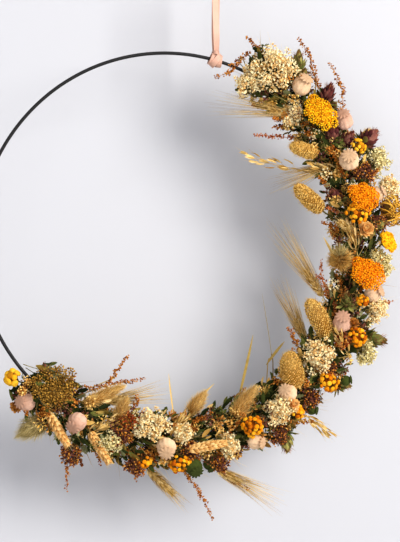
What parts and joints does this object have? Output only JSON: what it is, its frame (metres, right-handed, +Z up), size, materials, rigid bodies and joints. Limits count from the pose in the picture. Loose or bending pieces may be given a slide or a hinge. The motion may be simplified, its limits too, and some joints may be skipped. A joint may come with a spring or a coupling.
{
  "type": "dried flower wreath",
  "caption": "Black steel hoop, half wreathed in bound dried flowers, seed pods, grasses and ears, hanging from a blush satin ribbon loop.",
  "frame": {"origin": "inside top of the ribbon's loop, where a hook or nail carries the wreath", "axes": "+Z up; the hoop stands in the XZ plane and the flowers face -Y; +X is to the right seen from the front"},
  "size_m": [0.4546, 0.0636, 0.5777],
  "materials": {
    "hoop_steel": "smooth satin black paint on a round steel rod",
    "binding_wire": "thin dull green florist's wire",
    "ribbon_satin": "blush satin ribbon, soft sheen, woven edges",
    "poppy_pod": "dry matt seed pod, beige with ribs and a rayed crown",
    "yarrow": "flat golden heads of tiny dry florets",
    "tansy": "bunched orange button heads, finely pitted",
    "safflower": "scaly dark bud with green and purple bracts",
    "strawflower": "papery straw-coloured petals",
    "wheat": "shiny straw grain husks",
    "canary_grass": "dense ochre overlapping scales",
    "bunny_tail": "soft ochre hairs",
    "thistle": "golden bristles with a pale tuft",
    "wild_carrot": "brown-green dry umbel of tiny seeds",
    "barley": "pale straw ear with long awns",
    "oats": "pale straw spikelets",
    "sorrel": "rust-brown papery seeds on thin stalks",
    "statice": "cream papery florets in airy clusters",
    "oregano": "dark plum-brown dry flower clusters",
    "grass_blade": "dry straw-coloured leaf, lightly ribbed"
  },
  "bodies": {
    "root": {"hoop": "hoop_steel", "hanging_ribbon": "ribbon_satin", "ribbon_knot": "ribbon_satin", "binding_wire": "binding_wire", "poppy_pod_1": "poppy_pod", "poppy_pod_2": "poppy_pod", "poppy_pod_3": "poppy_pod", "poppy_pod_4": "poppy_pod", "poppy_pod_5": "poppy_pod", "poppy_pod_6": "poppy_pod", "poppy_pod_7": "poppy_pod", "poppy_pod_8": "poppy_pod", "poppy_pod_9": "poppy_pod", "poppy_pod_10": "poppy_pod", "poppy_pod_11": "poppy_pod", "yarrow_1": "yarrow", "yarrow_2": "yarrow", "yarrow_3": "yarrow", "yarrow_4": "yarrow", "tansy_1": "tansy", "tansy_2": "tansy", "tansy_3": "tansy", "tansy_4": "tansy", "tansy_5": "tansy", "tansy_6": "tansy", "safflower_1": "safflower", "safflower_2": "safflower", "safflower_3": "safflower", "safflower_4": "safflower", "safflower_5": "safflower", "strawflower_1": "strawflower", "wheat_1": "wheat", "wheat_2": "wheat", "wheat_3": "wheat", "canary_grass_1": "canary_grass", "canary_grass_2": "canary_grass", "canary_grass_3": "canary_grass", "canary_grass_4": "canary_grass", "bunny_tail_1": "bunny_tail", "bunny_tail_2": "bunny_tail", "bunny_tail_3": "bunny_tail", "bunny_tail_4": "bunny_tail", "thistle_1": "thistle", "wild_carrot_1": "wild_carrot", "wild_carrot_2": "wild_carrot", "barley_1": "barley", "barley_2": "barley", "barley_3": "barley", "oats_1": "oats", "sorrel_1": "sorrel", "sorrel_2": "sorrel", "sorrel_3": "sorrel", "sorrel_4": "sorrel", "sorrel_5": "sorrel", "statice_1": "statice", "statice_2": "statice", "statice_3": "statice", "statice_4": "statice", "oregano_1": "oregano", "grass_blade_1": "grass_blade"}
  },
  "joints": []
}
